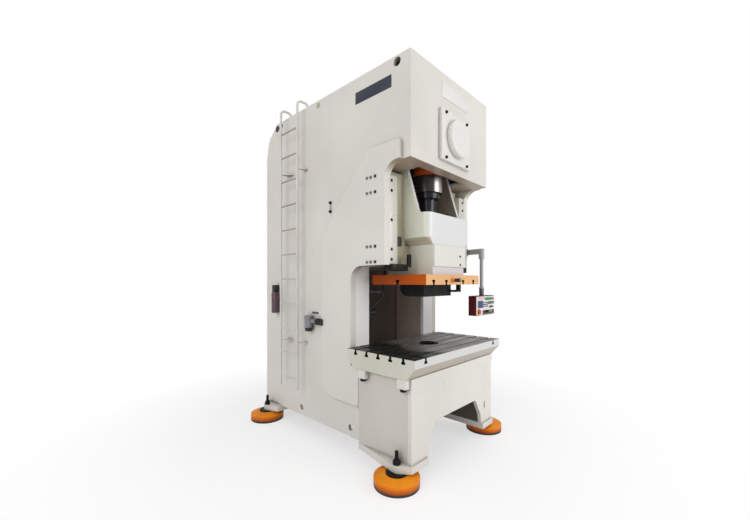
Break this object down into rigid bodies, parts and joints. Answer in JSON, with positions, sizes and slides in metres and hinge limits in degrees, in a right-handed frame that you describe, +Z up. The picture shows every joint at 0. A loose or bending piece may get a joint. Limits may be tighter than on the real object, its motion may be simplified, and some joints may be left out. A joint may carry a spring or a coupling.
{
  "type": "mechanical stamping press",
  "caption": "Open-front crank press on levelling pads, with a guided slide over a tee-slotted bolster, a side ladder and a hanging control box.",
  "frame": {"origin": "on the floor, midway between the four feet", "axes": "+X to the machine's right as seen from its front, +Y from front to back, +Z up"},
  "size_m": [2.05, 2.62, 3.926],
  "materials": {
    "frame_paint": "warm off-white machine paint, satin",
    "cover_paint": "white gloss paint",
    "slide_paint": "greenish cream paint, satin",
    "orange_paint": "orange gloss paint",
    "rod_paint": "orange-red gloss paint",
    "ground_steel": "ground flat, lightly oiled",
    "way_steel": "scraped way, dark with oil",
    "machined_steel": "turned",
    "cast_iron": "as cast, machined on its faces",
    "black_steel": "black oxide",
    "rubber": "matt",
    "arm_paint": "grey paint, satin",
    "motor_paint": "blue-grey paint",
    "box_paint": "maroon paint, satin",
    "panel_sheet": "white, satin",
    "red_plastic": "gloss",
    "green_plastic": "gloss",
    "yellow_plastic": "gloss",
    "blue_plastic": "gloss",
    "black_plastic": "matt",
    "filter_metal": "die cast, painted grey",
    "reservoir_plastic": "brown-purple, part see-through",
    "gauge_plastic": "gloss"
  },
  "bodies": {
    "frame": {"side_plates": "frame_paint", "cheeks": "frame_paint", "head_front": "frame_paint", "frame_plates": "frame_paint", "upright_liners": "frame_paint", "bed_front": "frame_paint", "bed_sides": "frame_paint", "bed_plates": "frame_paint", "foot_plates": "frame_paint", "rear_guard": "frame_paint", "ladder": "frame_paint", "crank_cover": "cover_paint", "foot_pads": "orange_paint", "bolster": "ground_steel", "gib_columns": "ground_steel", "front_gibs": "ground_steel", "rear_gibs": "ground_steel", "side_liners": "way_steel", "bearing_housings": "cast_iron", "cap_screws": "black_steel", "side_screws": "black_steel", "stop_brackets": "black_steel", "foot_studs": "black_steel", "bolster_lugs": "frame_paint", "pad_rubbers": "rubber", "drive_belts": "rubber", "air_hose": "rubber", "motor": "motor_paint", "balance_cylinders": "motor_paint", "pendant_bracket": "arm_paint", "air_filter": "filter_metal", "air_bowl": "black_plastic", "grease_pump": "black_plastic", "grease_reservoir": "reservoir_plastic", "oil_gauge": "gauge_plastic"},
    "rod": {"connecting_rod": "rod_paint", "rod_sleeve": "machined_steel", "lock_ring": "black_steel"},
    "slide": {"slide_body": "slide_paint", "slide_cover": "slide_paint", "slide_guides": "way_steel", "slide_plate": "orange_paint", "tool_holder": "ground_steel", "balance_rods": "machined_steel"},
    "screw": {"adjusting_screw": "machined_steel"},
    "crank": {"crankshaft": "machined_steel", "main_gear": "cast_iron"},
    "pinion": {"pinion_shaft": "machined_steel"},
    "flywheel": {"flywheel": "cast_iron"},
    "motor_rotor": {"motor_pulley": "cast_iron"},
    "pendant": {"pendant_arm": "arm_paint", "pendant_tube": "arm_paint"},
    "control_box": {"control_box": "box_paint", "control_panel": "panel_sheet"},
    "emergency_stop": {"emergency_stop": "red_plastic"},
    "start_button": {"start_button": "green_plastic"},
    "inch_button": {"inch_button": "yellow_plastic"},
    "reset_button": {"reset_button": "blue_plastic"},
    "mode_selector": {"mode_selector": "black_plastic"},
    "regulator_knob": {"regulator_knob": "black_plastic"}
  },
  "joints": [
    {"name": "slide_stroke", "type": "slide", "parent": "frame", "child": "rod", "axis": [0, 0, 1], "range_m": [-0.2, 0]},
    {"name": "height_adjust", "type": "slide", "parent": "rod", "child": "slide", "axis": [0, 0, 1], "range_m": [-0.11, 0]},
    {"name": "screw_turn", "type": "hinge", "parent": "slide", "child": "screw", "pos_m": [0, -0.855, 2.33], "axis": [0, 0, 1], "range_deg": [-1981, 1]},
    {"name": "crank_turn", "type": "hinge", "parent": "frame", "child": "crank", "pos_m": [0, -0.855, 3.23], "axis": [0, 1, 0], "range_deg": [-1, 181]},
    {"name": "pinion_turn", "type": "hinge", "parent": "frame", "child": "pinion", "pos_m": [0, -0.855, 2.727], "axis": [0, 1, 0], "range_deg": [-946, 1]},
    {"name": "flywheel_spin", "type": "hinge", "parent": "frame", "child": "flywheel", "pos_m": [0, 1.11, 2.727], "axis": [0, 1, 0], "continuous": true},
    {"name": "motor_spin", "type": "hinge", "parent": "frame", "child": "motor_rotor", "pos_m": [0, 1.11, 0.64], "axis": [0, 1, 0], "continuous": true},
    {"name": "arm_swing", "type": "hinge", "parent": "frame", "child": "pendant", "pos_m": [0.835, -0.855, 2.149], "axis": [0, 0, 1], "range_deg": [0, 100]},
    {"name": "box_swivel", "type": "hinge", "parent": "pendant", "child": "control_box", "pos_m": [0.783, -1.098, 1.7], "axis": [0, 0, 1], "range_deg": [-20, 45]},
    {"name": "emergency_stop_push", "type": "slide", "parent": "control_box", "child": "emergency_stop", "axis": [0, 1, 0], "range_m": [0, 0.005]},
    {"name": "start_push", "type": "slide", "parent": "control_box", "child": "start_button", "axis": [0, 1, 0], "range_m": [0, 0.005], "stiffness_N_per_m": 400},
    {"name": "inch_push", "type": "slide", "parent": "control_box", "child": "inch_button", "axis": [0, 1, 0], "range_m": [0, 0.005], "stiffness_N_per_m": 400},
    {"name": "reset_push", "type": "slide", "parent": "control_box", "child": "reset_button", "axis": [0, 1, 0], "range_m": [0, 0.005], "stiffness_N_per_m": 400},
    {"name": "mode_turn", "type": "hinge", "parent": "control_box", "child": "mode_selector", "pos_m": [0.793, -1.151, 1.429], "axis": [0, 1, 0], "range_deg": [-45, 45]},
    {"name": "regulator_turn", "type": "hinge", "parent": "frame", "child": "regulator_knob", "pos_m": [-0.763, 0.16, 1.33], "axis": [0, 1, 0], "range_deg": [-150, 150]}
  ],
  "couplings": [
    {"joint": "screw_turn", "follows": "height_adjust", "rad_per_m": 314.16},
    {"joint": "crank_turn", "follows": "slide_stroke", "rad_per_m": -15.708},
    {"joint": "pinion_turn", "follows": "slide_stroke", "rad_per_m": 82.467},
    {"joint": "motor_spin", "follows": "flywheel_spin", "ratio": 4}
  ]
}
